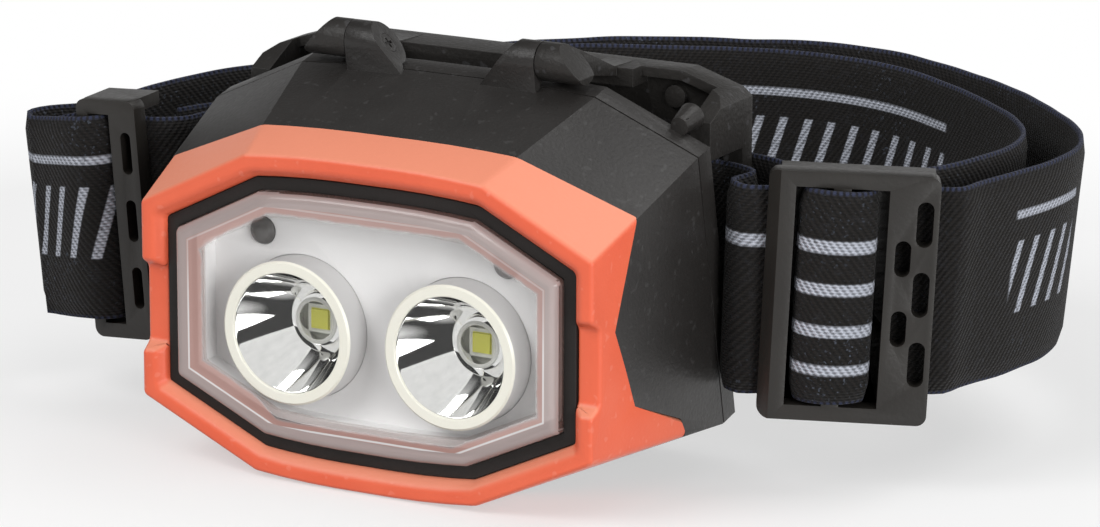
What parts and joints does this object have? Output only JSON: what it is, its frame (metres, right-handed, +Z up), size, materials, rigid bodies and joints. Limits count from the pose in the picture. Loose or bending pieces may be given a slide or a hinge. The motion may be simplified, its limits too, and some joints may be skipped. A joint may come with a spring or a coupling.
{
  "type": "headlamp",
  "caption": "Compact headlamp: faceted case with two reflectors behind a clear window, tilting on a hinged bracket with a wide elastic headband, slide buckle and strap keeper.",
  "frame": {"origin": "centre of the flat underside that the lamp stands on, 14 mm behind the front rim", "axes": "-Y is the way the light shines, +Z up as pictured, +X to the right seen from the front"},
  "size_m": [0.1269, 0.0974, 0.0512],
  "materials": {
    "bezel": "fine-textured orange plastic",
    "case": "fine-textured black plastic",
    "dark_ring": "matt black",
    "clear": "clear moulded window",
    "tray": "pale satin plastic",
    "reflector": "vacuum-metallised cup",
    "light": "yellow-green phosphor on a white package",
    "board": "white board",
    "screw": "zinc-plated",
    "pin": "blackened steel",
    "sensor": "dark tinted dome",
    "inner": "black moulding",
    "cell": "printed can",
    "contact": "nickel-plated",
    "green_board": "green board",
    "button": "soft-touch rubber",
    "seal": "thin flat gasket",
    "bracket": "speckled black plastic",
    "strap": "woven elastic with light flecks",
    "buckle": "black acetal"
  },
  "bodies": {
    "headband": {"bracket": "bracket", "headband": "strap"},
    "lamp": {"front_bezel": "bezel", "front_case": "case", "lens_frame": "dark_ring", "lens": "clear", "reflector_plate": "tray", "reflector_left": "reflector", "reflector_right": "reflector", "led_left": "light", "led_right": "light", "led_board": "board", "board_screws": "screw", "ir_emitter": "sensor", "ir_receiver": "sensor", "battery_tray": "inner", "tray_screws": "screw", "cell_lower": "cell", "cell_middle": "cell", "cell_upper": "cell", "contact_plates": "contact", "contact_springs": "contact", "switch_board": "green_board", "tact_switch": "inner", "rear_cover": "case", "cover_seal": "seal", "hinge_pin_left": "pin", "hinge_pin_right": "pin"},
    "button": {"power_button": "button", "switch_plunger": "inner"},
    "adjuster": {"buckle_right": "buckle", "strap_wave_right": "strap"},
    "keeper": {"keeper_left": "buckle", "strap_wave_left": "strap"}
  },
  "joints": [
    {"name": "lamp_tilt", "type": "hinge", "parent": "headband", "child": "lamp", "pos_m": [0, 0.0059, 0.0489], "axis": [-1, 0, 0], "range_deg": [0, 70]},
    {"name": "button_press", "type": "slide", "parent": "lamp", "child": "button", "axis": [0, 0, 1], "range_m": [0, 0.0008], "stiffness_N_per_m": 600, "springref_m": -0.0008},
    {"name": "adjuster_slide", "type": "slide", "parent": "headband", "child": "adjuster", "axis": [0.891, 0.454, 0], "range_m": [-0.002, 0.002]},
    {"name": "keeper_slide", "type": "slide", "parent": "headband", "child": "keeper", "axis": [1, 0, 0], "range_m": [-0.0015, 0.0015]}
  ]
}
